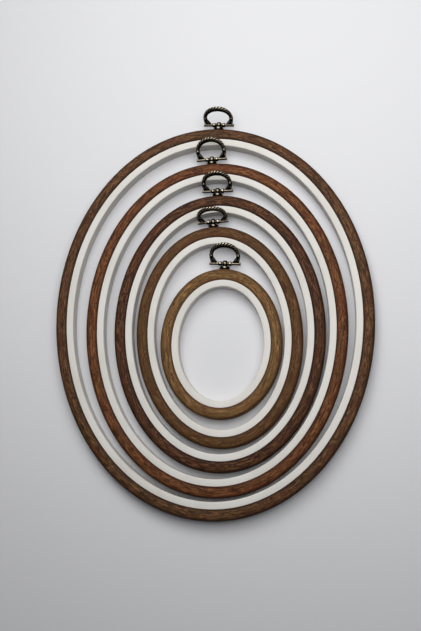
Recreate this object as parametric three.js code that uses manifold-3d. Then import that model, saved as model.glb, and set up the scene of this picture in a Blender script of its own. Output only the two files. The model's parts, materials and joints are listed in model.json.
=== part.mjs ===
// A nest of five oval embroidery hoops that also serve as picture frames, lying flat inside one another.
// Each hoop is a rigid plastic inner ring, a flexible wood-look outer ring that stretches over it, and a
// cast metal hanger: a stem with a ball eye, a cross pin with two beads, and a bow that swings on the pin.
// Millimetres, +Z up, +Y towards the hangers. The origin is on the table under the middle of the nest.
import * as THREE from "three";
import { mergeVertices } from "three/addons/utils/BufferGeometryUtils.js";
import Module from "manifold-3d";

const wasm = await Module();
wasm.setup();
const rad = THREE.MathUtils.degToRad;

// General fit between pieces that touch on the real hoop
const seatGap = 0.3;

// Inner ring: an upright wall with a flange at its foot that the outer ring sits on
const wallWidth = 4.4;
const wallHeight = 8.3;
const wallTopFall = 0.2;
const wallBevel = 0.9;
const flangeReach = 3;
const flangeHeight = 2.2;
// The wall leans back towards its foot by this much, so that the stretched outer ring can't creep off
const undercut = 0.15;

// Outer ring: a D-shaped band, flat on top, with a rebate underneath for the flange
const bandWidth = 7.8;
const bandHeight = 10;
const bandRound = 2.3;
const bandRoundSteps = 3;
const bandInnerBevel = 0.9;
const bandFootBevel = 0.8;

// The smallest hoop's opening, then the clear gaps from each hoop's inner edge to the next smaller hoop.
// At the top the gap is to the ball of the smaller hoop's hanger.
const smallestOpening = { long: 78.8, short: 58.7 };
const gapsInHoop4 = { top: 11.2, bottom: 6.9, left: 4.3, right: 1.5 };
const gapsInHoop3 = { top: 3.3, bottom: 3.3, left: 3.3, right: 2.9 };
const gapsInHoop2 = { top: 4.6, bottom: 3.7, left: 7.7, right: 2.5 };
const gapsInHoop1 = { top: 6.8, bottom: 2.1, left: 9.5, right: 5.3 };

// Hanger stem: shank in the band, domed foot, waist and ball eye on one axis
const shankRadius = 1.3;
const shankLength = 5;
const domeRadius = 3.45;
const domeHeight = 2.1;
const waistRadius = 1.6;
const ballRadius = 2.3;
const eyeStandOff = 4.8;
const domeSteps = 3;
const ballSteps = 5;
const stemSides = 12;

// Cross pin and the loose beads either side of the ball
const pinRadius = 1.05;
const pinOverhang = 0.25;
const pinBevel = 0.2;
const pinClearance = 0.25;
const pinSides = 12;
const beadRadius = 1.6;
const beadLength = 2.5;
const beadEndWall = 0.15;
const beadSides = 8;

// Bow: a cast horseshoe. Round its top a twisted rope lies on a plain rim. Its sides are plain, with one
// raised dot each, and flare to a lug on each end of the pin.
const bowWidth = 21.5;
const bowHeight = 17.1;
const bowWaistHeight = 7.2;
const bowTopBand = 3.6;
const bowSideBand = 2.75;
const bowThickness = 2.4;
const bowBevel = 0.45;
const lugTuck = 1.05;
const lugSinkShare = 0.6;
const lugFlareShare = 0.45;
const sideStraightShare = 0.75;
const rimInset = 0.1;
const dotRadius = 1;
const dotRise = 0.25;
const dotSides = 6;

// Rope: strands laid together, with crestCount strand crests along its front. Its angles are in degrees.
const ropeRadius = 1.15;
const ropeDepth = 0.35;
const strandCount = 3;
const crestCount = 14;
const ropeStartAngle = 8;
const ropeRootAngle = 5;

// The hoops from the smallest to the largest. lean turns a hoop clockwise, hangerTurn is the hanger's angle
// along the oval from its top, and raise is how far the bow stands up from its lowest position, in degrees.
// facets is the number of sides of a ring.
const hoops = [
  { name: "hoop5", facets: 32, lean: 2.4, hangerTurn: 0.7, raise: 18.3 },
  { name: "hoop4", facets: 36, lean: -2.7, hangerTurn: 0, raise: 13.6, gaps: gapsInHoop4 },
  { name: "hoop3", facets: 40, lean: -0.5, hangerTurn: 0.4, raise: 11.3, gaps: gapsInHoop3 },
  { name: "hoop2", facets: 44, lean: 0.3, hangerTurn: -1.4, raise: 13.2, gaps: gapsInHoop2 },
  { name: "hoop1", facets: 48, lean: 0, hangerTurn: 2.7, raise: 77, gaps: gapsInHoop1 },
];

// Finishes
const finishes = {
  ring: { color: 0xe0dfd9, roughness: 0.45, metalness: 0 },
  metal: { color: 0x3a332b, roughness: 0.4, metalness: 1 },
  hoop1: { color: 0x5b4030, roughness: 0.6, metalness: 0 },
  hoop2: { color: 0x6e3f28, roughness: 0.6, metalness: 0 },
  hoop3: { color: 0x4c3026, roughness: 0.6, metalness: 0 },
  hoop4: { color: 0x5f432c, roughness: 0.6, metalness: 0 },
  hoop5: { color: 0x76532f, roughness: 0.6, metalness: 0 },
};

function mesh(name, geometry, finish) {
  const made = new THREE.Mesh(geometry, new THREE.MeshStandardMaterial(finishes[finish]));
  made.name = name;
  return made;
}

function solid(geometry) {
  const bare = geometry.clone();
  bare.deleteAttribute("normal");
  bare.deleteAttribute("uv");
  const merged = mergeVertices(bare, 1e-4);
  return new wasm.Manifold(
    new wasm.Mesh({
      numProp: 3,
      vertProperties: merged.attributes.position.array,
      triVerts: new Uint32Array(merged.index.array),
    }),
  );
}

function fromSolid(made) {
  const { vertProperties, triVerts } = made.getMesh();
  const geometry = new THREE.BufferGeometry();
  geometry.setAttribute("position", new THREE.BufferAttribute(new Float32Array(vertProperties), 3));
  geometry.setIndex(new THREE.BufferAttribute(new Uint32Array(triVerts), 1));
  const flat = geometry.toNonIndexed();
  flat.computeVertexNormals();
  return flat;
}

// A cylinder along X, used as the cutter for every bore that the pin runs through
function pinCutter(radius, length) {
  return new THREE.CylinderGeometry(radius, radius, length, pinSides).rotateZ(rad(90));
}

// Ovals. The parting line between the two rings is an ellipse, and every other edge lies at a constant
// distance from it, measured outwards along its normal.

function ovalPoint(oval, turn, offset) {
  const along = new THREE.Vector2(oval.short * Math.sin(turn), oval.long * Math.cos(turn));
  const normal = new THREE.Vector2(Math.sin(turn) / oval.short, Math.cos(turn) / oval.long).normalize();
  return along.addScaledVector(normal, offset);
}

function ovalNormalTurn(oval, turn) {
  return Math.atan2(Math.sin(turn) / oval.short, Math.cos(turn) / oval.long);
}

// A profile of (offset, height) points swept round the oval: a lathe that is then bent from round to oval
function ovalRing(oval, facets, profile) {
  const latheRadius = 10 * bandWidth;
  const points = profile.map(([offset, height]) => new THREE.Vector2(latheRadius + offset, height));
  points.push(points[0].clone());
  const ring = new THREE.LatheGeometry(points, facets);
  const at = ring.attributes.position;
  for (let i = 0; i < at.count; i++) {
    const turn = Math.atan2(at.getX(i), at.getZ(i));
    const bent = ovalPoint(oval, turn, Math.hypot(at.getX(i), at.getZ(i)) - latheRadius);
    at.setXYZ(i, bent.x, bent.y, at.getY(i));
  }
  ring.computeVertexNormals();
  return ring;
}

// Ring profiles, listed so that the swept faces point outwards

const flangeEdge = flangeReach - seatGap;

function innerRingProfile() {
  const inside = -seatGap - wallWidth;
  return [
    [inside, 0],
    [inside, wallHeight - wallBevel],
    [inside + wallBevel, wallHeight],
    [-seatGap, wallHeight - wallTopFall],
    [-seatGap - undercut, flangeHeight],
    [flangeEdge, flangeHeight],
    [flangeEdge, 0],
  ];
}

function outerRingProfile() {
  const rounded = [];
  for (let i = 0; i <= bandRoundSteps; i++) {
    const turn = (Math.PI / 2) * (1 - i / bandRoundSteps);
    rounded.push([
      bandWidth - bandRound * (1 - Math.cos(turn)),
      bandHeight - bandRound * (1 - Math.sin(turn)),
    ]);
  }
  return [
    [-undercut, flangeHeight + seatGap],
    [0, bandHeight - bandInnerBevel],
    [bandInnerBevel, bandHeight],
    ...rounded,
    [bandWidth, bandFootBevel],
    [bandWidth - bandFootBevel, 0],
    [flangeReach, 0],
    [flangeReach, flangeHeight + seatGap],
  ];
}

// Hanger. Its frame has X along the pin, Y away from the hoop and its origin where the pin crosses the stem.

const pinHeight = (bandFootBevel + bandHeight - bandRound) / 2;
const beadCentre = Math.sqrt(ballRadius ** 2 - (pinRadius + pinClearance) ** 2) + seatGap + beadLength / 2;
const lugInner = beadCentre + beadLength / 2 + seatGap;
const lugFoot = pinRadius * lugSinkShare;
const lugOuter = bowWidth / 2 - lugTuck;
const pinLength = bowWidth + 2 * pinOverhang;

function stemGeometry() {
  const foot = -eyeStandOff + seatGap;
  const ballFrom = Math.asin(waistRadius / ballRadius);
  const profile = [
    new THREE.Vector2(0, foot - shankLength),
    new THREE.Vector2(shankRadius, foot - shankLength),
    new THREE.Vector2(shankRadius, foot),
  ];
  for (let i = 0; i <= domeSteps; i++) {
    const turn = rad((90 * i) / domeSteps);
    const across = waistRadius + (domeRadius - waistRadius) * Math.cos(turn);
    profile.push(new THREE.Vector2(across, foot + domeHeight * Math.sin(turn)));
  }
  for (let i = 0; i < ballSteps; i++) {
    const turn = ballFrom + ((Math.PI - ballFrom) * i) / ballSteps;
    profile.push(new THREE.Vector2(ballRadius * Math.sin(turn), -ballRadius * Math.cos(turn)));
  }
  profile.push(new THREE.Vector2(0, ballRadius));
  const stem = solid(new THREE.LatheGeometry(profile, stemSides));
  const bore = solid(pinCutter(pinRadius + pinClearance, 3 * ballRadius));
  return fromSolid(stem.subtract(bore));
}

function pinGeometry() {
  const half = pinLength / 2;
  const profile = [
    new THREE.Vector2(0, -half),
    new THREE.Vector2(pinRadius - pinBevel, -half),
    new THREE.Vector2(pinRadius, -half + pinBevel),
    new THREE.Vector2(pinRadius, half - pinBevel),
    new THREE.Vector2(pinRadius - pinBevel, half),
    new THREE.Vector2(0, half),
  ];
  return new THREE.LatheGeometry(profile, pinSides).rotateZ(rad(90));
}

function beadGeometry() {
  const half = beadLength / 2;
  const bore = pinRadius + pinClearance;
  const shoulder = bore + beadEndWall;
  const profile = [
    new THREE.Vector2(bore, -half),
    new THREE.Vector2(shoulder, -half),
    new THREE.Vector2(beadRadius, -half / 2),
    new THREE.Vector2(beadRadius, half / 2),
    new THREE.Vector2(shoulder, half),
    new THREE.Vector2(bore, half),
    new THREE.Vector2(bore, -half),
  ];
  return new THREE.LatheGeometry(profile, beadSides).rotateZ(rad(90));
}

// A point of the bow's top arc, at an angle in degrees from the right and a distance in from its outer edge
function bowArc(degrees, inset) {
  return new THREE.Vector2(
    (bowWidth / 2 - inset) * Math.cos(rad(degrees)),
    bowWaistHeight + (bowHeight - bowWaistHeight - inset) * Math.sin(rad(degrees)),
  );
}

// The width of the bow's band, which is widest at the top
function bowBand(degrees) {
  return bowSideBand + (bowTopBand - bowSideBand) * Math.sin(rad(degrees));
}

// One side of the bow from its lug to the start of the rope
function bowSide(side) {
  const outline = new THREE.Shape();
  const outer = (side * bowWidth) / 2;
  const inner = outer - side * bowSideBand;
  outline.moveTo(side * lugInner, lugFoot);
  outline.lineTo(side * lugOuter, lugFoot);
  outline.quadraticCurveTo(outer, bowWaistHeight * lugFlareShare, outer, bowWaistHeight);
  for (const inset of [0, bowBand(ropeStartAngle)]) {
    const top = bowArc(ropeStartAngle, inset);
    outline.lineTo(side * top.x, top.y);
  }
  outline.lineTo(inner, bowWaistHeight);
  outline.lineTo(inner, bowWaistHeight * sideStraightShare);
  return new THREE.ExtrudeGeometry(outline, {
    depth: bowThickness - 2 * bowBevel,
    bevelEnabled: true,
    bevelThickness: bowBevel,
    bevelSize: bowBevel,
    bevelOffset: -bowBevel,
    bevelSegments: 1,
    curveSegments: 3,
  }).translate(0, 0, bowBevel - bowThickness / 2);
}

// The rope and its rim: sections round the top arc, rooted in the sides. Each section's rope has a crest and
// a hollow per strand, and half a strand's turn lies between one section and the next.
function ropedTop() {
  const sections = 2 * crestCount;
  const from = ropeStartAngle - ropeRootAngle;
  const face = bowThickness / 2 - rimInset;
  const points = [];
  const faces = [];
  for (let i = 0; i <= sections; i++) {
    const degrees = from + ((180 - 2 * from) * i) / sections;
    const middle = bowArc(degrees, ropeRadius);
    const outwards = bowArc(degrees, 0).sub(middle).normalize();
    const rim = ropeRadius + rimInset - bowBand(degrees);
    const section = [];
    for (let side = 1 - strandCount; side < strandCount; side++) {
      const radius = (i + side) % 2 === 0 ? ropeRadius - ropeDepth : ropeRadius;
      const turn = (Math.PI * side) / strandCount;
      section.push([radius * Math.cos(turn), radius * Math.sin(turn)]);
    }
    section.push([rim + bowBevel, face], [rim, face - bowBevel]);
    section.push([rim, bowBevel - face], [rim + bowBevel, -face]);
    const count = section.length;
    for (const [out, up] of section) {
      const at = outwards.clone().multiplyScalar(out).add(middle);
      points.push(at.x, at.y, up);
    }
    const first = i * count;
    for (let k = 0; k < count && i < sections; k++) {
      const here = first + k;
      const next = first + ((k + 1) % count);
      faces.push(here, here + count, next + count, here, next + count, next);
    }
    if (i > 0 && i < sections) continue;
    const centre = (sections + 1) * count + (i > 0 ? 1 : 0);
    for (let k = 0; k < count; k++) {
      const edge = [first + k, first + ((k + 1) % count)];
      faces.push(centre, ...(i > 0 ? edge.reverse() : edge));
    }
  }
  for (const degrees of [from, 180 - from]) {
    const middle = bowArc(degrees, ropeRadius);
    points.push(middle.x, middle.y, 0);
  }
  const top = new THREE.BufferGeometry();
  top.setAttribute("position", new THREE.Float32BufferAttribute(points, 3));
  top.setIndex(faces);
  return top;
}

function bowGeometry() {
  let bow = solid(ropedTop());
  for (const side of [-1, 1]) {
    const height = bowThickness + 2 * dotRise;
    const dot = new THREE.CylinderGeometry(dotRadius, dotRadius, height, dotSides).rotateX(rad(90));
    const middle = (side * (bowWidth - bowSideBand)) / 2;
    bow = bow.add(solid(bowSide(side))).add(solid(dot.translate(middle, bowWaistHeight, 0)));
  }
  // The pin lies in a half-round seat across each lug
  return fromSolid(bow.subtract(solid(pinCutter(pinRadius + seatGap, 2 * pinLength))));
}

// Assembly

// The lowest angle of a bow: it lies on the table, or on the larger hoop round its own
function lowestBowAngle(around, hanger) {
  const half = bowThickness / 2 + seatGap;
  if (!around) return -Math.asin((pinHeight - half) / bowHeight);
  const edges = [
    { offset: bandInnerBevel, height: bandHeight },
    { offset: 0, height: bandHeight - bandInnerBevel },
    { offset: wallBevel - seatGap - wallWidth, height: wallHeight },
    { offset: -seatGap - wallWidth, height: wallHeight - wallBevel },
  ];
  let lowest = -Math.PI;
  for (const { offset, height } of edges) {
    for (let turn = -90; turn <= 90; turn += 0.25) {
      const point = ovalPoint(around.oval, rad(turn), offset)
        .rotateAround(new THREE.Vector2(), around.angle)
        .add(around.centre)
        .sub(hanger.centre)
        .rotateAround(new THREE.Vector2(), -hanger.angle);
      const reach = Math.hypot(point.y, height - pinHeight);
      const side = Math.abs(point.x) / (bowWidth / 2);
      const top = bowWaistHeight + (bowHeight - bowWaistHeight) * Math.sqrt(Math.max(0, 1 - side ** 2));
      if (side > 1 || point.y < 0 || reach > Math.hypot(top, half)) continue;
      lowest = Math.max(lowest, Math.atan2(height - pinHeight, point.y) + Math.asin(half / reach));
    }
  }
  return lowest;
}

// Each hoop's size and centre, worked outwards from the smallest by the gaps between them
function layOut() {
  const rim = bandWidth + seatGap + wallWidth;
  const laid = [];
  let outer = null;
  for (const hoop of hoops) {
    let opening = { long: smallestOpening.long / 2, short: smallestOpening.short / 2 };
    let centre = new THREE.Vector2();
    if (outer) {
      const top = hoop.gaps.top + eyeStandOff + ballRadius;
      opening = {
        long: outer.long + (top + hoop.gaps.bottom) / 2,
        short: outer.short + (hoop.gaps.left + hoop.gaps.right) / 2,
      };
      centre = outer.centre
        .clone()
        .add(new THREE.Vector2((hoop.gaps.right - hoop.gaps.left) / 2, (top - hoop.gaps.bottom) / 2));
    }
    const oval = { long: opening.long + seatGap + wallWidth, short: opening.short + seatGap + wallWidth };
    laid.push({ ...hoop, oval, centre, angle: -rad(hoop.lean) });
    outer = { long: opening.long + rim, short: opening.short + rim, centre };
  }
  return laid;
}

function buildHoop(hoop, around) {
  const { name, oval, facets } = hoop;
  const group = new THREE.Group();
  group.position.set(hoop.centre.x, hoop.centre.y, 0);
  group.rotation.z = hoop.angle;

  const turn = rad(hoop.hangerTurn);
  const eye = ovalPoint(oval, turn, bandWidth + eyeStandOff);
  const hanger = new THREE.Group();
  hanger.position.set(eye.x, eye.y, pinHeight);
  hanger.rotation.z = -ovalNormalTurn(oval, turn);
  hanger.updateMatrix();
  group.add(hanger);

  const shankHole = new THREE.CylinderGeometry(
    shankRadius + seatGap,
    shankRadius + seatGap,
    shankLength + 2 * seatGap,
    stemSides,
  ).translate(0, -eyeStandOff + seatGap - shankLength / 2, 0);
  const band = solid(ovalRing(oval, facets, outerRingProfile()));
  const bored = band.subtract(solid(shankHole.applyMatrix4(hanger.matrix)));
  group.add(mesh(name + "_inner_ring", ovalRing(oval, facets, innerRingProfile()), "ring"));
  group.add(mesh(name + "_outer_ring", fromSolid(bored), name));
  hanger.add(mesh(name + "_hanger_stem", stemGeometry(), "metal"));

  const placed = {
    centre: eye.clone().rotateAround(new THREE.Vector2(), hoop.angle).add(hoop.centre),
    angle: hoop.angle + hanger.rotation.z,
  };
  const swing = new THREE.Group();
  swing.rotation.x = lowestBowAngle(around, placed) + rad(hoop.raise);
  hanger.add(swing);
  swing.add(mesh(name + "_cross_pin", pinGeometry(), "metal"));
  swing.add(mesh(name + "_bow", bowGeometry(), "metal"));
  for (const [side, word] of [[-1, "left"], [1, "right"]]) {
    const bead = mesh(name + "_bead_" + word, beadGeometry(), "metal");
    bead.position.x = side * beadCentre;
    swing.add(bead);
  }
  return group;
}

const nest = new THREE.Group();
const laidOut = layOut();
laidOut.forEach((hoop, i) => nest.add(buildHoop(hoop, laidOut[i + 1])));

// The nest is moved so that the middle of its footprint is on the origin
const box = new THREE.Box3().setFromObject(nest, true);
const middle = box.getCenter(new THREE.Vector3());
nest.position.set(-middle.x, -middle.y, -box.min.z);

const part = new THREE.Group();
part.add(nest);

export default part;
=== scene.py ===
"""A nest of five oval embroidery hoops: wood-look vinyl bands on off-white inner rings, with antique
brass hangers whose rope-topped bows swing on a pin. New pieces are modelled in millimetres and set
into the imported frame, which is in metres."""

import json
import math

import bmesh
import bpy
import numpy as np
from mathutils import Matrix, Vector


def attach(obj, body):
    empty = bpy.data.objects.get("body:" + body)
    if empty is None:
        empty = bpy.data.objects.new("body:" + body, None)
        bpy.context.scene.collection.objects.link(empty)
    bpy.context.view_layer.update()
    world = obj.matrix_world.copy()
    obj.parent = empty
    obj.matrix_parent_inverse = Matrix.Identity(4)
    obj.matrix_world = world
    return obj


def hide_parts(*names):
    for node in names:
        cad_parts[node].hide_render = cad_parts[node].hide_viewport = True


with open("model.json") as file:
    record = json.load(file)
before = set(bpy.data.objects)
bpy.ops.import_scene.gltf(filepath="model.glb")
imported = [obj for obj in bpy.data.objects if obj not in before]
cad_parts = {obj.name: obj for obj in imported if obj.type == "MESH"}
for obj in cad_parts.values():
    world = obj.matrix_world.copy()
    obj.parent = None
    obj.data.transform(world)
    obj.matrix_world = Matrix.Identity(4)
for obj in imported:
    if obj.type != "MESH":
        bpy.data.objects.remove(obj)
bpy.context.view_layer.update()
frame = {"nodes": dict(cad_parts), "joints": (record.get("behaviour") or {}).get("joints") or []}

MM = 0.001
HOOPS = ("hoop1", "hoop2", "hoop3", "hoop4", "hoop5")
WELD_DISTANCE = 1e-4

# Camera, in degrees and millimetres: half a metre above the nest, a little to its right and foot
CAMERA_TO_RIGHT = 6.77
CAMERA_TO_FOOT = 10.65
CAMERA_ROLL = 0.22
CAMERA_DISTANCE = 500.0
CAMERA_AIM = (-1.65, -4.38, 0)
SENSOR_WIDTH = 36
LENS = 40.75

# Ring sections. Offsets are measured outwards from the parting line between the two rings. The wall's
# top rises towards it by its lift, to meet the band's inner edge without a dark step
SEAT_GAP = 0.3
SLIP_GAP = 0.05
WALL_WIDTH = 4.4
WALL_HEIGHT = 8.3
WALL_LIFT = 0.5
WALL_ROUND = 0.65
FLANGE_EDGE = 2.7
FLANGE_HEIGHT = 2.2
FLANGE_ROUND = 0.3
UNDERCUT = 0.15
BAND_WIDTH = 7.8
BAND_HEIGHT = 10.0
BAND_INNER_FALL = 0.85
BAND_OUTER_FALL = 0.9
CROWN_SHARE = 0.42
LIP_ROUND = 0.4
CROWN_ROUND = 2.6
SHOULDER_ROUND = 1.9
FOOT_ROUND = 0.8
REBATE_WIDTH = 3.0
SMALL_ROUND = 0.2
CRISP_ROUND = 0.1
# At its crown and its outer side, the band's outline is drawn this far outside the solid's
BAND_OVERSIZE = 0.1
# The rings are spun round at this radius, which leaves room for their sections, and then made oval
SPUN_RADIUS = 60.0
RING_STEPS = 288
OVAL_SAMPLES = 2881

# Hanger, in its own frame: X along the pin, Y away from the hoop, origin where the pin crosses the stem
EYE_STAND_OFF = 4.8
FOOT_SINK = 0.1
DOME_RADIUS = 3.6
DOME_HEIGHT = 3.1
DOME_BELLY = 1.7
DOME_TUCK = 0.8
WAIST_RADIUS = 1.75
BALL_RADIUS = 2.3
EYE_PLAY = 0.2
EYE_CUTTER_LENGTH = 12
STEM_SIDES = 48

PIN_RADIUS = 1.05
PIN_LENGTH = 22.0
PIN_ROUND = 0.25
BEAD_RADIUS = 1.6
BEAD_LENGTH = 2.5
BEAD_CENTRE = 3.45
BEAD_PLAY = 0.15
BEAD_SHOULDER = 0.25
BEAD_BELLY_SHARE = 0.45
BEAD_BELLY_ROUND = 0.6
ROD_SIDES = 40

BOW_WIDTH = 21.5
BOW_HEIGHT = 17.1
BOW_WAIST = 7.2
BOW_TOP_BAND = 3.6
BOW_SIDE_BAND = 2.75
PLATE_THICKNESS = 2.2
PLATE_ROUND = 0.7
RIM_INSET = 1.9
SIDE_FOOT_SHARE = 0.72
ARC_STEPS = 24
VOXEL = 0.11

# The bow's rope, wound from three strands. Its visible stretch starts at an angle above the horizontal,
# and its ends go on for some degrees into the plain sides
ROPE_RADIUS = 1.15
ROPE_START = 8.0
ROPE_TUCK = 6.0
STRAND_RADIUS = 0.62
STRANDS = 3
STRAND_CRESTS = 14
STEPS_A_TURN = 24

# The bow's lugs and what is cast on them and on its sides: two slanting ridges on each lug, given by
# their foot, head and half width, and one dot on each side
LUG_INNER = 5.0
LUG_OUTER = 9.7
LUG_FLARE = ((10.2, 2.0), (10.6, 4.2))
LUG_FLARE_TOP = 6.0
LUG_FOOT = 0.8
LUG_TAPER = 0.5
LUG_TAPER_TOP = 3.6
SEAT_PLAY = 0.04
RIDGES = (((6.0, 1.4), (9.0, 5.6), 0.5), ((9.0, 1.4), (9.95, 5.4), 0.45))
RIDGE_OVERRUN = 0.6
RIDGE_HEIGHT = 1.3
RIDGE_LIFT = 0.2
DOT_RADIUS = 0.95
DOT_HEIGHT = 1.36
DOT_LIFT = 0.22

# The floor's side in metres, and how far it lies under the rings
FLOOR_SIZE = 8
FLOOR_DROP = 0.1


def add_to_scene(name, data):
    """A new object in the scene that holds this camera, lamp, curve or mesh."""
    made = bpy.data.objects.new(name, data)
    bpy.context.scene.collection.objects.link(made)
    return made


def place_camera():
    """The photograph's view, worked out from the five hoops' edges in it."""
    to_right = math.tan(math.radians(CAMERA_TO_RIGHT))
    to_foot = math.tan(math.radians(CAMERA_TO_FOOT))
    toward = Vector((to_right, -to_foot, 1)).normalized()
    roll = math.radians(CAMERA_ROLL)
    right = Vector((math.sin(roll), math.cos(roll), 0)).cross(toward).normalized()
    data = bpy.data.cameras.new("camera")
    data.sensor_width = SENSOR_WIDTH
    data.lens = LENS
    data.clip_start = 0.01
    camera = add_to_scene("camera", data)
    turn = Matrix((right, toward.cross(right), toward)).transposed().to_4x4()
    place = Vector(CAMERA_AIM) * MM + toward * (CAMERA_DISTANCE * MM)
    camera.matrix_world = Matrix.Translation(place) @ turn
    bpy.context.scene.camera = camera


place_camera()


# Materials


def linear(colour):
    """An sRGB hex colour as linear RGBA."""
    parts = [int(colour[i : i + 2], 16) / 255 for i in (1, 3, 5)]
    return [c / 12.92 if c <= 0.04045 else ((c + 0.055) / 1.055) ** 2.4 for c in parts] + [1]


def node(material, kind, inputs=None, stops=(), **settings):
    """Adds a node. An input is a value or another node's output, and stops are a ramp's."""
    made = material.node_tree.nodes.new("ShaderNode" + kind)
    for name, value in settings.items():
        setattr(made, name, value)
    for name, value in (inputs or {}).items():
        if isinstance(value, bpy.types.NodeSocket):
            material.node_tree.links.new(value, made.inputs[name])
        else:
            made.inputs[name].default_value = value
    for i, (place, value) in enumerate(stops):
        ramp = made.color_ramp.elements
        stop = ramp[i] if i < 2 else ramp.new(place)
        stop.position = place
        stop.color = linear(value) if isinstance(value, str) else (value, value, value, 1)
    return made


def new_material(name):
    """A material with an empty node tree."""
    material = bpy.data.materials.new(name)
    material.use_nodes = True
    material.node_tree.nodes.clear()
    return material


def finish(material, surface):
    """Ends a material in a Principled shader with these inputs."""
    shader = node(material, "BsdfPrincipled", surface)
    node(material, "OutputMaterial", {"Surface": shader.outputs[0]})
    return material


def spread(material, vector, size, unit=1.0, detail=2, roughness=0.5, distortion=0.0, offset=0.0):
    """Noise whose features are size millimetres long, where unit is a millimetre in the vector's own
    units."""
    mapped = node(material, "Mapping", {
        "Vector": vector,
        "Location": (offset, offset, offset),
        "Scale": [1 / (s * unit) for s in size],
    })
    noise = node(material, "TexNoise", {
        "Vector": mapped.outputs[0],
        "Scale": 1.0,
        "Detail": detail,
        "Roughness": roughness,
        "Distortion": distortion,
    })
    return noise.outputs["Fac"]


def printed_vinyl(name, dark, middle, light, red, olive, offset):
    """Flexible vinyl, extruded and printed with a wood grain. The eye gets a dull satin brown, streaked
    along the ring and dotted with pores. Painted shade, carried by the edge attribute, darkens it along
    the band's two edges. The grain attribute holds two coordinates along the ring and one across its
    section, in millimetres."""
    m = new_material(name)
    grain = node(m, "Attribute", attribute_name="grain").outputs["Vector"]
    edge = node(m, "Attribute", attribute_name="edge").outputs["Fac"]

    # Streaks about 7 mm long, and wavy figure lines where a slow noise is cut into contours
    contours_a_unit = 46.0
    contour_depth = 0.075
    streaks = spread(m, grain, (7, 7, 0.9), detail=3, roughness=0.6, distortion=0.6, offset=offset)
    slow = spread(m, grain, (16, 16, 4.5), detail=1, distortion=0.8, offset=offset + 5)
    contours = node(m, "Math", {0: slow, 1: contours_a_unit}, operation="MULTIPLY").outputs[0]
    lines = node(m, "Math", {0: contours}, operation="SINE").outputs[0]
    figure = node(m, "Math", {0: lines, 1: contour_depth, 2: streaks}, operation="MULTIPLY_ADD")
    tone = node(m, "ValToRGB", {"Fac": figure.outputs[0]}, [(0.36, dark), (0.5, middle), (0.66, light)])

    # The print drifts between redder and greener brown over a few centimetres
    drift = spread(m, grain, (24, 24, 5), offset=offset + 11)
    reddish = node(m, "ValToRGB", {"Fac": drift}, [(0.52, 0.0), (0.66, 0.6)]).outputs[0]
    greenish = node(m, "ValToRGB", {"Fac": drift}, [(0.34, 0.6), (0.48, 0.0)]).outputs[0]
    warm = node(m, "MixRGB", {"Fac": reddish, "Color1": tone.outputs[0], "Color2": linear(red)})
    tinted = node(m, "MixRGB", {"Fac": greenish, "Color1": warm.outputs[0], "Color2": linear(olive)})

    # Pores: dark dashes about 2 mm long, drawn twice as wide as real ones so that they show
    pores = spread(m, grain, (2.0, 2.0, 0.55), roughness=0.65, offset=offset + 17)
    pored = node(m, "ValToRGB", {"Fac": pores}, [(0.34, 0.7), (0.47, 0.0)]).outputs[0]
    dashed = node(m, "MixRGB", {"Fac": pored, "Color1": tinted.outputs[0], "Color2": linear(dark)})
    # Painted shade: the colour is mixed towards the dark brown along both edges of the band
    shaded = node(m, "MixRGB", {"Fac": edge, "Color1": dashed.outputs[0], "Color2": linear(dark)})
    sheen = node(m, "MapRange", {
        "Value": streaks,
        "From Min": 0.3,
        "From Max": 0.7,
        "To Min": 0.52,
        "To Max": 0.64,
    })
    bump = node(m, "Bump", {"Height": pores, "Strength": 0.25, "Distance": 0.05 * MM})
    return finish(m, {
        "Base Color": shaded.outputs[0],
        "Roughness": sheen.outputs[0],
        "Normal": bump.outputs[0],
        "Specular IOR Level": 0.12,
    })


def moulded_plastic(name, light, dark):
    """Injection-moulded plastic. The eye gets an off-white satin, faintly uneven in tone, with handling
    marks in its gloss and a fine even texture from the mould."""
    m = new_material(name)
    place = node(m, "TexCoord").outputs["Object"]
    cloud = spread(m, place, (30, 30, 30), MM, detail=3)
    marks = spread(m, place, (1.2, 9, 4), MM, roughness=0.6)
    tone = node(m, "ValToRGB", {"Fac": cloud}, [(0.35, dark), (0.6, light)])
    satin = node(m, "MapRange", {
        "Value": marks,
        "From Min": 0.3,
        "From Max": 0.7,
        "To Min": 0.34,
        "To Max": 0.5,
    })
    texture = spread(m, place, (0.4, 0.4, 0.4), MM, detail=1)
    bump = node(m, "Bump", {"Height": texture, "Strength": 0.12, "Distance": 0.02 * MM})
    return finish(m, {
        "Base Color": tone.outputs[0],
        "Roughness": satin.outputs[0],
        "Normal": bump.outputs[0],
        "IOR": 1.5,
    })


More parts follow.
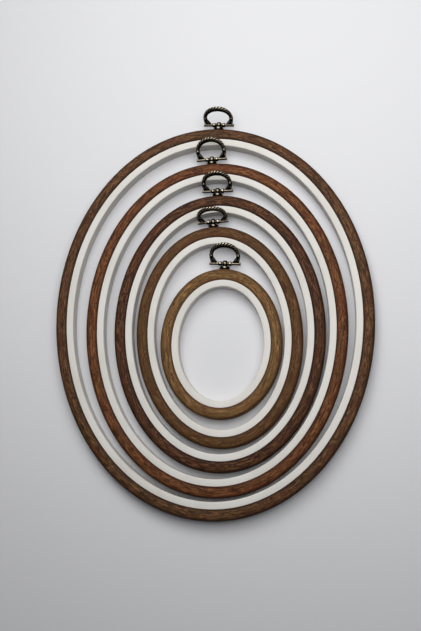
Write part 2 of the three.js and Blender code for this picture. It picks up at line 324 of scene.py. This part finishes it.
def antique_brass(name):
    """Cast brass with a chemical patina. The eye gets a near-black brown, taken back to paler and glossier
    metal by rubbing where it stands proud, with the fine grain of the casting over it. The same paler
    metal is also painted on as a highlight, over the faces where the lamp's highlight falls."""
    m = new_material(name)
    place = node(m, "TexCoord").outputs["Object"]
    wear = node(m, "Attribute", attribute_name="wear").outputs["Fac"]
    blotch = spread(m, place, (1.1, 1.1, 1.1), MM, detail=3, roughness=0.6)
    blotch_depth = 0.6
    uneven = node(m, "Math", {0: blotch, 1: 0.5}, operation="SUBTRACT").outputs[0]
    # Paler where the patina rubs off and where a highlight is painted on
    rubbed_and_highlit = node(m, "Math", {0: uneven, 1: blotch_depth, 2: wear}, operation="MULTIPLY_ADD").outputs[0]
    tone = node(m, "ValToRGB", {"Fac": rubbed_and_highlit}, [(0.3, "#15120d"), (0.62, "#564c3d"), (1.0, "#c4b8a2")])
    gloss = node(m, "MapRange", {
        "Value": rubbed_and_highlit,
        "From Min": 0.2,
        "From Max": 0.9,
        "To Min": 0.46,
        "To Max": 0.27,
    })
    cast = spread(m, place, (0.5, 0.5, 0.5), MM)
    bump = node(m, "Bump", {"Height": cast, "Strength": 0.3, "Distance": 0.03 * MM})
    return finish(m, {
        "Base Color": tone.outputs[0],
        "Metallic": 1.0,
        "Roughness": gloss.outputs[0],
        "Normal": bump.outputs[0],
    })


# Each hoop's print: dark, middle, light, reddest and greenest brown, and where in the noise it lies
PRINTS = {
    "hoop1": ("#311d10", "#583b25", "#86603f", "#5f3a25", "#523c25", 0.0),
    "hoop2": ("#391d0e", "#673e24", "#925f39", "#6f3d24", "#5f3d22", 31.0),
    "hoop3": ("#2a160c", "#4c2f1d", "#7c5437", "#542f1d", "#49301d", 57.0),
    "hoop4": ("#432a16", "#5c3f25", "#785634", "#633f25", "#573f24", 83.0),
    "hoop5": ("#52371e", "#765634", "#9b784a", "#7e5633", "#6e5530", 109.0),
}


# Modelling helpers


def select_alone(piece):
    """Selects one piece and nothing else."""
    bpy.ops.object.select_all(action="DESELECT")
    piece.select_set(True)
    bpy.context.view_layer.objects.active = piece


def work_on(piece):
    """Selects one piece alone and opens it in edit mode."""
    select_alone(piece)
    bpy.ops.object.mode_set(mode="EDIT")


def close():
    """Leaves edit mode."""
    bpy.ops.object.mode_set(mode="OBJECT")


def pick(piece, wanted, kind="verts"):
    """Selects, in edit mode, only the vertices, edges or faces that wanted says yes to."""
    bpy.ops.mesh.select_all(action="DESELECT")
    work = bmesh.from_edit_mesh(piece.data)
    for part in getattr(work, kind):
        if wanted(part):
            part.select_set(True)
    work.select_flush_mode()
    bmesh.update_edit_mesh(piece.data)


def outline(corners, round_segments=5):
    """A flat face in the XZ plane with a corner at each (x, z, rounding)."""
    bpy.ops.mesh.primitive_circle_add(vertices=len(corners), fill_type="NGON")
    piece = bpy.context.object
    for vertex, (x, z, _) in zip(piece.data.vertices, corners):
        vertex.co = (x, 0, z)
    work_on(piece)
    bpy.context.tool_settings.mesh_select_mode = (True, False, False)
    for x, z, rounding in corners:
        if rounding:
            corner = Vector((x, 0, z))
            pick(piece, lambda v: (v.co - corner).length < WELD_DISTANCE)
            bpy.ops.mesh.bevel(offset=rounding, segments=round_segments, affect="VERTICES")
    close()
    return piece


def turned(corners, steps, round_segments=5):
    """A solid of revolution about Z from an outline whose x is its radius."""
    piece = outline(corners, round_segments)
    work_on(piece)
    bpy.ops.mesh.select_all(action="SELECT")
    bpy.ops.mesh.delete(type="ONLY_FACE")
    bpy.context.tool_settings.mesh_select_mode = (False, True, False)
    pick(piece, lambda e: all(abs(v.co.x) < WELD_DISTANCE for v in e.verts), "edges")
    bpy.ops.mesh.delete(type="EDGE")
    bpy.ops.mesh.select_all(action="SELECT")
    bpy.ops.mesh.spin(steps=steps, angle=2 * math.pi, center=(0, 0, 0), axis=(0, 0, 1))
    bpy.ops.mesh.select_all(action="SELECT")
    bpy.ops.mesh.remove_doubles(threshold=WELD_DISTANCE)
    bpy.ops.mesh.normals_make_consistent(inside=False)
    close()
    return piece


def apply_modifier(piece, kind, **settings):
    """Adds a modifier with these settings and applies it."""
    modifier = piece.modifiers.new(kind.lower(), kind)
    for name, value in settings.items():
        setattr(modifier, name, value)
    bpy.context.view_layer.objects.active = piece
    bpy.ops.object.modifier_apply(modifier=modifier.name)


def lie_along_x(piece):
    """Lays a piece down so that its Z becomes X."""
    piece.data.transform(Matrix.Rotation(math.pi / 2, 4, "Y"))
    return piece


def lie_along_y(piece):
    """Lays a piece down so that its Z becomes Y."""
    piece.data.transform(Matrix.Rotation(-math.pi / 2, 4, "X"))
    return piece


def coordinates(piece):
    """A mesh's vertices as rows of x, y and z."""
    co = np.empty(len(piece.data.vertices) * 3)
    piece.data.vertices.foreach_get("co", co)
    return co.reshape(-1, 3)


def set_coordinates(piece, co):
    """Moves a mesh's vertices to these rows of x, y and z."""
    piece.data.vertices.foreach_set("co", co.ravel())
    piece.data.update()


def set_attribute(piece, name, values):
    """Stores a number or a vector per vertex."""
    kind, field = ("FLOAT", "value") if values.ndim == 1 else ("FLOAT_VECTOR", "vector")
    attribute = piece.data.attributes.new(name, kind, "POINT")
    attribute.data.foreach_set(field, values.astype(np.float32).ravel())


def ease(value, low, high):
    """0 below low, 1 above high, smooth between."""
    t = np.clip((value - low) / (high - low), 0, 1)
    return t * t * (3 - 2 * t)


def shade(piece, degrees=35):
    """Shades a piece smooth, but for edges sharper than an angle."""
    select_alone(piece)
    bpy.ops.object.shade_smooth_by_angle(angle=math.radians(degrees))


def install(piece, name, material, body, slot, *nodes):
    """Names a finished piece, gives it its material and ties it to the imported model."""
    piece.name = name
    piece.data.name = name
    piece.data.materials.clear()
    piece.data.materials.append(material)
    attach(piece, body)
    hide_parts(*nodes)


# Rings


def measured_oval(ring):
    """Centre, long and short direction, and half axes in millimetres, of the oval parting line between a
    hoop's rings, from its packed inner ring."""
    co = np.array([v.co[:2] for v in ring.data.vertices]) / MM
    centre = (co.max(0) + co.min(0)) / 2
    # The middle and the directions settle in a few rounds
    for _ in range(4):
        away = co - centre
        _, axes = np.linalg.eigh(away.T @ away)
        along = axes[:, 1] * np.sign(axes[1, 1])
        across = np.array([along[1], -along[0]])
        local = np.stack([away @ across, away @ along], 1)
        middle = (local.max(0) + local.min(0)) / 2
        centre = centre + across * middle[0] + along * middle[1]
    half = (local.max(0) - local.min(0)) / 2 - FLANGE_EDGE
    return centre, along, across, half


def bend_to_oval(piece, oval):
    """Moves a spun ring's vertices from round to oval. Returns where each is: two coordinates along the
    oval, its offset from the parting line and its height."""
    centre, along, across, (short, long) = oval
    co = coordinates(piece)
    radius = np.hypot(co[:, 0], co[:, 1])
    turn = np.arctan2(co[:, 0], co[:, 1])
    offset = radius - SPUN_RADIUS
    height = co[:, 2].copy()

    base = np.stack([short * np.sin(turn), long * np.cos(turn)], 1)
    normal = np.stack([np.sin(turn) / short, np.cos(turn) / long], 1)
    normal /= np.linalg.norm(normal, axis=1)[:, None]
    flat = base + normal * offset[:, None]
    placed = centre + flat[:, :1] * across + flat[:, 1:] * along
    set_coordinates(piece, np.column_stack([placed, height]) * MM)

    # Length along the oval, wrapped round a circle of the same length so that no seam shows
    fine = np.linspace(-math.pi, math.pi, OVAL_SAMPLES)
    speed = np.hypot(short * np.cos(fine), long * np.sin(fine))
    length = np.concatenate([[0], np.cumsum((speed[1:] + speed[:-1]) / 2 * np.diff(fine))])
    wrapped = 2 * math.pi * np.interp(turn, fine, length) / length[-1]
    circle = length[-1] / (2 * math.pi)
    return circle * np.cos(wrapped), circle * np.sin(wrapped), offset, height


def build_white_ring(hoop, oval, plastic):
    """The inner ring: an upright wall, undercut at its root, on a flange that carries the band."""
    inside = SPUN_RADIUS - SEAT_GAP - WALL_WIDTH
    outside = SPUN_RADIUS - SLIP_GAP
    edge = SPUN_RADIUS + FLANGE_EDGE
    wall = turned([
        (inside, 0, FLANGE_ROUND),
        (inside, WALL_HEIGHT, WALL_ROUND),
        (outside, WALL_HEIGHT + WALL_LIFT, CRISP_ROUND),
        (outside - UNDERCUT, FLANGE_HEIGHT, SMALL_ROUND),
        (edge, FLANGE_HEIGHT, FLANGE_ROUND),
        (edge, 0, SMALL_ROUND),
    ], RING_STEPS)
    bend_to_oval(wall, oval)
    shade(wall)
    install(wall, hoop + "_white_ring", plastic, hoop + "_inner", "ring_plastic", hoop + "_inner_ring")


def build_band(hoop, oval, vinyl):
    """The outer ring: a band with a domed top, rebated underneath to sit on the flange."""
    inside = SPUN_RADIUS + SLIP_GAP
    outside = SPUN_RADIUS + BAND_WIDTH + BAND_OVERSIZE
    rebate = SPUN_RADIUS + REBATE_WIDTH
    seat = FLANGE_HEIGHT + SEAT_GAP
    band = turned([
        (inside, seat, CRISP_ROUND),
        (inside, BAND_HEIGHT - BAND_INNER_FALL, LIP_ROUND),
        (SPUN_RADIUS + BAND_WIDTH * CROWN_SHARE, BAND_HEIGHT + BAND_OVERSIZE, CROWN_ROUND),
        (outside, BAND_HEIGHT - BAND_OUTER_FALL, SHOULDER_ROUND),
        (outside, 0, FOOT_ROUND),
        (rebate, 0, SMALL_ROUND),
        (rebate, seat, CRISP_ROUND),
    ], RING_STEPS, round_segments=7)
    first, second, offset, height = bend_to_oval(band, oval)

    # Across the section, the print wraps over the top and down both sides
    down = BAND_HEIGHT - height
    over = np.where(offset > BAND_WIDTH / 2, offset + down, offset - down)
    set_attribute(band, "grain", np.column_stack([first, second, over]))

    # Painted shade: the colour darkens over the band's outer shoulder and along its inner lip, next to the
    # white ring
    darkest_painted_shade = 0.85
    shoulder = ease(over, BAND_WIDTH - 2.5, BAND_WIDTH + 0.9)
    lip = 1 - ease(over, -0.3, 1.4)
    set_attribute(band, "edge", np.maximum(shoulder, lip) * darkest_painted_shade)
    shade(band)
    name = hoop + "_wood_look_band"
    install(band, name, vinyl, hoop + "_outer", hoop + "_wood_look", hoop + "_outer_ring")


# Hanger


def neighbour_sums(values, edges):
    """For each vertex, the sum of a value over the vertices that it shares an edge with."""
    total = np.zeros_like(values)
    for a, b in ((0, 1), (1, 0)):
        np.add.at(total, edges[:, a], values[edges[:, b]])
    return total


def mark_wear_and_painted_highlight(piece, reach, start, full, base, rubbed_and_highlit, proud_gain):
    """Stores how far the patina is taken off, with a painted highlight in the same number: base all over,
    paler as a vertex's reach goes from start to full, which is partly rubbing and partly painted
    highlight, and paler again on small forms that stand proud."""
    co = coordinates(piece)
    work = bmesh.new()
    work.from_mesh(piece.data)
    edges = np.array([[v.index for v in e.verts] for e in work.edges])
    normals = np.array([v.normal for v in work.verts])
    work.free()
    count = neighbour_sums(np.ones(len(co)), edges)
    proud = ((co - neighbour_sums(co, edges) / count[:, None]) * normals).sum(1)
    # Evened out over near vertices, so that no single one shows
    for _ in range(3):
        proud = (proud + neighbour_sums(proud, edges) / count) / 2
    spacing = np.linalg.norm(co[edges[:, 0]] - co[edges[:, 1]], axis=1).mean()
    # The reach term paints a highlight as well as rubbing; the proud term is rubbing on high spots
    worn_and_highlit = base + rubbed_and_highlit * ease(reach, start, full) + proud_gain * proud / spacing
    set_attribute(piece, "wear", np.clip(worn_and_highlit, 0, 1))


def stem_reach(stem):
    """How far the ball and the foot stand out towards the hanger's two sides, which sets where they
    rub and where their painted highlight lies.
    """
    co = coordinates(stem)
    return np.abs(co[:, 2]) - (DOME_RADIUS - BALL_RADIUS) * (co[:, 1] < -WAIST_RADIUS)


def rod_reach(rod, end_fall=0.0):
    """How far a pin or bead stands out, where fingers rub it and where its painted highlight lies: to the
    sides and a little away from the hoop, and less towards a bead's ends."""
    outward_share = 0.12
    co = coordinates(rod)
    return np.abs(co[:, 2]) + outward_share * co[:, 1] - end_fall * co[:, 0] ** 2


def bow_reach(bow):
    """How far the bow stands out to its two sides, and on its rope how far out of the rope's middle."""
    rope_share = 1.15
    rope_skin = 0.1
    inward_limit = -0.35
    samples = 165
    co = coordinates(bow)
    reach = np.abs(co[:, 2])
    nearest = np.full(len(co), np.inf)
    for degrees in np.linspace(ROPE_START, 180 - ROPE_START, samples):
        middle = bow_arc(degrees, ROPE_RADIUS)
        out = (bow_arc(degrees, 0) - middle).normalized()
        away = co - np.array(middle)
        distance = np.linalg.norm(away, axis=1)
        closer = distance < nearest
        nearest[closer] = distance[closer]
        outward = away @ np.array(out) > inward_limit
        rope = closer & (distance < ROPE_RADIUS + rope_skin) & outward
        reach[rope] = distance[rope] * rope_share
    return reach


def build_stem():
    """The stem's barrel-shaped foot, waist and ball, turned in one, with the ball bored for the pin."""
    belly_steps, shoulder_steps, ball_steps = 6, 14, 16
    foot = -EYE_STAND_OFF - FOOT_SINK
    corners = [(0, foot, 0)]
    for i in range(belly_steps):
        rise = i / belly_steps
        corners.append((DOME_RADIUS - DOME_TUCK * (1 - rise) ** 2, foot + DOME_BELLY * rise, 0))
    for i in range(shoulder_steps + 1):
        rise = i / shoulder_steps
        radius = WAIST_RADIUS + (DOME_RADIUS - WAIST_RADIUS) * math.sqrt(1 - rise ** 2)
        corners.append((radius, foot + DOME_BELLY + (DOME_HEIGHT - DOME_BELLY) * rise, 0))
    start = math.asin(WAIST_RADIUS / BALL_RADIUS)
    for i in range(ball_steps):
        turn = start + (math.pi - start) * i / ball_steps
        corners.append((BALL_RADIUS * math.sin(turn), -BALL_RADIUS * math.cos(turn), 0))
    corners.append((0, BALL_RADIUS, 0))
    stem = turned(corners, STEM_SIDES)
    bpy.ops.mesh.primitive_cylinder_add(
        vertices=STEM_SIDES,
        radius=PIN_RADIUS + EYE_PLAY,
        depth=EYE_CUTTER_LENGTH,
        rotation=(0, math.pi / 2, 0),
    )
    cutter = bpy.context.object
    apply_modifier(stem, "BOOLEAN", operation="DIFFERENCE", object=cutter, solver="EXACT")
    bpy.data.objects.remove(cutter)
    return lie_along_y(stem)


def build_pin():
    """A plain rod with slightly rounded ends."""
    half = PIN_LENGTH / 2
    pin = turned([
        (0, -half, 0),
        (PIN_RADIUS, -half, PIN_ROUND),
        (PIN_RADIUS, half, PIN_ROUND),
        (0, half, 0),
    ], ROD_SIDES)
    return lie_along_x(pin)


def build_bead():
    """A bored bead, fullest over the middle of its length."""
    half = BEAD_LENGTH / 2
    belly = half * BEAD_BELLY_SHARE
    bore = PIN_RADIUS + BEAD_PLAY
    shoulder = BEAD_RADIUS - BEAD_SHOULDER
    bead = turned([
        (bore, -half, CRISP_ROUND / 2),
        (shoulder, -half, CRISP_ROUND),
        (BEAD_RADIUS, -belly, BEAD_BELLY_ROUND),
        (BEAD_RADIUS, belly, BEAD_BELLY_ROUND),
        (shoulder, half, CRISP_ROUND),
        (bore, half, CRISP_ROUND / 2),
    ], ROD_SIDES)
    return lie_along_x(bead)


def bow_arc(degrees, inset):
    """A point of the bow's top arc, at an angle from the right and inset from its outer edge."""
    turn = math.radians(degrees)
    across = (BOW_WIDTH / 2 - inset) * math.cos(turn)
    return Vector((across, BOW_WAIST + (BOW_HEIGHT - BOW_WAIST - inset) * math.sin(turn), 0))


def strand(phase):
    """One strand of the rope, wound round the middle of the top arc."""
    points = []
    steps = STEPS_A_TURN * STRAND_CRESTS // STRANDS
    lay = ROPE_RADIUS - STRAND_RADIUS
    first = ROPE_START - ROPE_TUCK
    for i in range(steps + 1):
        degrees = first + (180 - 2 * first) * i / steps
        middle = bow_arc(degrees, ROPE_RADIUS)
        out = (bow_arc(degrees, 0) - middle).normalized()
        wind = phase + 2 * math.pi * i / STEPS_A_TURN
        points.append(middle + out * lay * math.cos(wind) + Vector((0, 0, lay * math.sin(wind))))
    curve = bpy.data.curves.new("strand", "CURVE")
    curve.dimensions = "3D"
    curve.bevel_depth = STRAND_RADIUS
    curve.bevel_resolution = 4
    curve.use_fill_caps = True
    spline = curve.splines.new("POLY")
    spline.points.add(len(points) - 1)
    for point, at in zip(spline.points, points):
        point.co = (*at, 1)
    select_alone(add_to_scene("strand", curve))
    bpy.ops.object.convert(target="MESH")
    return bpy.context.object


def bow_plate():
    """The bow's plain casting: its rim, sides and lugs, cut from a plate with rounded edges."""
    half = BOW_WIDTH / 2
    inner = half - BOW_SIDE_BAND
    crown = BOW_HEIGHT - BOW_WAIST - BOW_TOP_BAND
    side_foot = BOW_WAIST * SIDE_FOOT_SHARE
    right = [
        (LUG_INNER, LUG_FOOT),
        (LUG_OUTER, LUG_FOOT),
        *LUG_FLARE,
        (half, LUG_FLARE_TOP),
        (half, BOW_WAIST),
        tuple(bow_arc(ROPE_START, 0)[:2]),
    ]
    rim = []
    for i in range(ARC_STEPS + 1):
        degrees = ROPE_START + (180 - 2 * ROPE_START) * i / ARC_STEPS
        rim.append(tuple(bow_arc(degrees, RIM_INSET)[:2]))
    left = [(-x, y) for x, y in reversed(right)]
    opening = [(-inner, side_foot)]
    for i in range(ARC_STEPS + 1):
        turn = math.pi * (1 - i / ARC_STEPS)
        opening.append((inner * math.cos(turn), BOW_WAIST + crown * math.sin(turn)))
    opening.append((inner, side_foot))
    plate = lie_along_y(outline([(x, y, 0) for x, y in right + rim + left + opening]))
    apply_modifier(plate, "SOLIDIFY", thickness=PLATE_THICKNESS, offset=0)
    sharp = {"limit_method": "ANGLE", "angle_limit": math.radians(50)}
    apply_modifier(plate, "BEVEL", width=PLATE_ROUND, segments=4, **sharp)
    return plate


def side_dot(side):
    """The raised dot on one side of the bow, where the plain side meets the rope."""
    bpy.ops.mesh.primitive_uv_sphere_add(
        segments=32,
        ring_count=16,
        radius=1.0,
        location=(side * (BOW_WIDTH - BOW_SIDE_BAND) / 2, BOW_WAIST, DOT_LIFT),
        scale=(DOT_RADIUS, DOT_RADIUS, DOT_HEIGHT),
    )
    return bpy.context.object


def lug_ridge(side, foot, head, width):
    """A slanting ridge on a lug's upper face."""
    start = Vector((side * foot[0], foot[1], 0))
    end = Vector((side * head[0], head[1], 0))
    bpy.ops.mesh.primitive_uv_sphere_add(
        segments=24,
        ring_count=12,
        radius=1.0,
        location=(start + end) / 2 + Vector((0, 0, RIDGE_LIFT)),
        rotation=(0, 0, math.atan2(end.y - start.y, end.x - start.x)),
        scale=((end - start).length / 2 + RIDGE_OVERRUN, width, RIDGE_HEIGHT),
    )
    return bpy.context.object


def build_bow():
    """The casting, its rope, dots and ridges, melted into one skin, with the lugs fitted to the pin."""
    plate = bow_plate()
    parts = [plate]
    for i in range(STRANDS):
        parts.append(strand(2 * math.pi * i / STRANDS))
    for side in (-1, 1):
        parts.append(side_dot(side))
        for foot, head, width in RIDGES:
            parts.append(lug_ridge(side, foot, head, width))
    bpy.ops.object.select_all(action="DESELECT")
    for part in parts:
        part.select_set(True)
    bpy.context.view_layer.objects.active = plate
    bpy.ops.object.join()
    bow = bpy.context.object
    bpy.ops.object.transform_apply(location=True, rotation=True, scale=True)
    apply_modifier(bow, "REMESH", mode="VOXEL", voxel_size=VOXEL)

    # The lugs thin down to their feet, which are hollowed into half-round seats for the pin
    co = coordinates(bow)
    co[:, 2] *= LUG_TAPER + (1 - LUG_TAPER) * ease(co[:, 1], LUG_FOOT, LUG_TAPER_TOP)
    seat = PIN_RADIUS + SEAT_PLAY
    away = np.hypot(co[:, 1], co[:, 2])
    seated = away < seat
    co[seated, 1:] *= seat / away[seated, None]
    set_coordinates(bow, co)
    return bow


def hanger_frame(hoop):
    """The hanger's own frame, and the bow's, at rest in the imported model. The bow is turned to where its
    solid's faces have their middle, seen along the pin."""
    joint = next(j for j in frame["joints"] if j["name"] == hoop + "_bow_swing")
    pivot = Vector(joint["pos_m"])
    along = Vector(joint["axis"]).normalized()
    up = Vector((0, 0, 1))
    out = up.cross(along)
    stem = Matrix.Translation(pivot) @ Matrix((along, out, up)).transposed().to_4x4()
    faces = frame["nodes"][hoop + "_bow"].data.polygons
    area = sum(face.area for face in faces)
    middle = sum((face.center * face.area for face in faces), Vector()) / area - pivot
    bow = stem @ Matrix.Rotation(math.atan2(middle.z, middle.dot(out)), 4, "X")
    return stem, bow


def copy_of(template, matrix):
    """A copy with a mesh of its own, in metres, its place in the mesh."""
    piece = add_to_scene(template.name, template.data.copy())
    piece.data.transform(matrix @ Matrix.Scale(MM, 4))
    return piece


def hanger_templates():
    """The hanger's four kinds of piece, each modelled once in the hanger's own frame."""
    stem, pin, bead, bow = build_stem(), build_pin(), build_bead(), build_bow()
    templates = {"stem": stem, "pin": pin, "bead": bead, "bow": bow}
    for template in templates.values():
        shade(template)
    bead_reach = rod_reach(bead, end_fall=0.2)
    # Each kind's reach range sets its painted highlight together with its rubbing
    mark_wear_and_painted_highlight(stem, stem_reach(stem), start=1.85, full=2.25, base=0.12, rubbed_and_highlit=0.65, proud_gain=0.5)
    mark_wear_and_painted_highlight(pin, rod_reach(pin), start=0.78, full=1.0, base=0.15, rubbed_and_highlit=0.55, proud_gain=0.3)
    mark_wear_and_painted_highlight(bead, bead_reach, start=1.25, full=1.5, base=0.12, rubbed_and_highlit=0.85, proud_gain=0.3)
    mark_wear_and_painted_highlight(bow, bow_reach(bow), start=1.12, full=1.32, base=0.08, rubbed_and_highlit=0.75, proud_gain=4.0)
    return templates


def place_hanger(hoop, templates, brass):
    """Sets the five pieces of one hoop's hanger in place. The pin and beads ride on the bow."""
    stem_frame, bow_frame = hanger_frame(hoop)
    pieces = [
        ("stem", "_stem", stem_frame, "_outer", "_hanger_stem"),
        ("pin", "_pin", stem_frame, "_bow", "_cross_pin"),
        ("bow", "_rope_bow", bow_frame, "_bow", "_bow"),
    ]
    for side, word in ((-1, "left"), (1, "right")):
        at = stem_frame @ Matrix.Translation((side * BEAD_CENTRE * MM, 0, 0))
        pieces.append(("bead", "_" + word + "_bead", at, "_bow", "_bead_" + word))
    for kind, ending, matrix, body, cad in pieces:
        piece = copy_of(templates[kind], matrix)
        install(piece, hoop + ending, brass, hoop + body, "hanger_metal", hoop + cad)


# Everything in place

plastic = moulded_plastic("off_white_moulded_plastic", "#e4e0d9", "#dbd7ce")
brass = antique_brass("antique_brass_casting")
for hoop in HOOPS:
    oval = measured_oval(frame["nodes"][hoop + "_inner_ring"])
    vinyl = printed_vinyl(hoop + "_wood_print_vinyl", *PRINTS[hoop])
    build_white_ring(hoop, oval, plastic)
    build_band(hoop, oval, vinyl)

templates = hanger_templates()
for hoop in HOOPS:
    place_hanger(hoop, templates, brass)
for template in templates.values():
    bpy.data.objects.remove(template)


# Floor, lamps and world


def build_stage():
    """A wide plain floor, painted pale and matt."""
    bpy.ops.mesh.primitive_plane_add(size=FLOOR_SIZE, location=(0, 0, -FLOOR_DROP * MM))
    floor = bpy.context.object
    floor.name = "floor"
    # The floor is pale to the camera and in the metal, and throws less light up onto the hoops' sides
    paint = new_material("pale_matt_floor")
    path = node(paint, "LightPath").outputs
    seen = {0: path["Is Camera Ray"], 1: path["Is Glossy Ray"]}
    mirrored = node(paint, "Math", seen, operation="MAXIMUM").outputs[0]
    shown = node(paint, "Math", {0: mirrored, 1: path["Is Transmission Ray"]}, operation="MAXIMUM")
    pale = node(paint, "MixRGB", {
        "Fac": shown.outputs[0],
        "Color1": linear("#a8a8a8"),
        "Color2": linear("#e8e8ea"),
    })
    finish(paint, {"Base Color": pale.outputs[0], "Roughness": 0.9, "Specular IOR Level": 0.1})
    floor.data.materials.append(paint)


def add_lamp(name, place, aim, power, size):
    """A round softbox, in metres and watts."""
    data = bpy.data.lights.new(name, "AREA")
    data.shape = "DISK"
    data.size = size
    data.energy = power
    lamp = add_to_scene(name, data)
    lamp.location = place
    lamp.rotation_euler = (Vector(aim) - Vector(place)).to_track_quat("-Z", "Y").to_euler()


def light_world(walls, ceiling):
    """A studio with dim walls and a brighter ceiling, lit at these two strengths."""
    world = bpy.data.worlds.new("studio")
    bpy.context.scene.world = world
    world.use_nodes = True
    world.node_tree.nodes.clear()
    toward = node(world, "TexCoord").outputs["Generated"]
    height = node(world, "SeparateXYZ", {"Vector": toward}).outputs["Z"]
    level = node(world, "MapRange", {
        "Value": height,
        "From Min": 0.3,
        "From Max": 0.75,
        "To Min": walls,
        "To Max": ceiling,
    })
    sky = node(world, "Background", {"Color": linear("#f6f8ff"), "Strength": level.outputs[0]})
    node(world, "OutputWorld", {"Surface": sky.outputs[0]})


build_stage()
add_lamp("overhead_softbox", place=(0.09, 0.2, 0.4), aim=(0.09, 0.2, 0), power=1.82, size=0.6)
add_lamp("window_softbox", place=(-0.35, 0.85, 0.8), aim=(0, 0, 0), power=3.5, size=0.6)
light_world(walls=0.06, ceiling=0.16)
bpy.context.scene.view_settings.view_transform = "Standard"
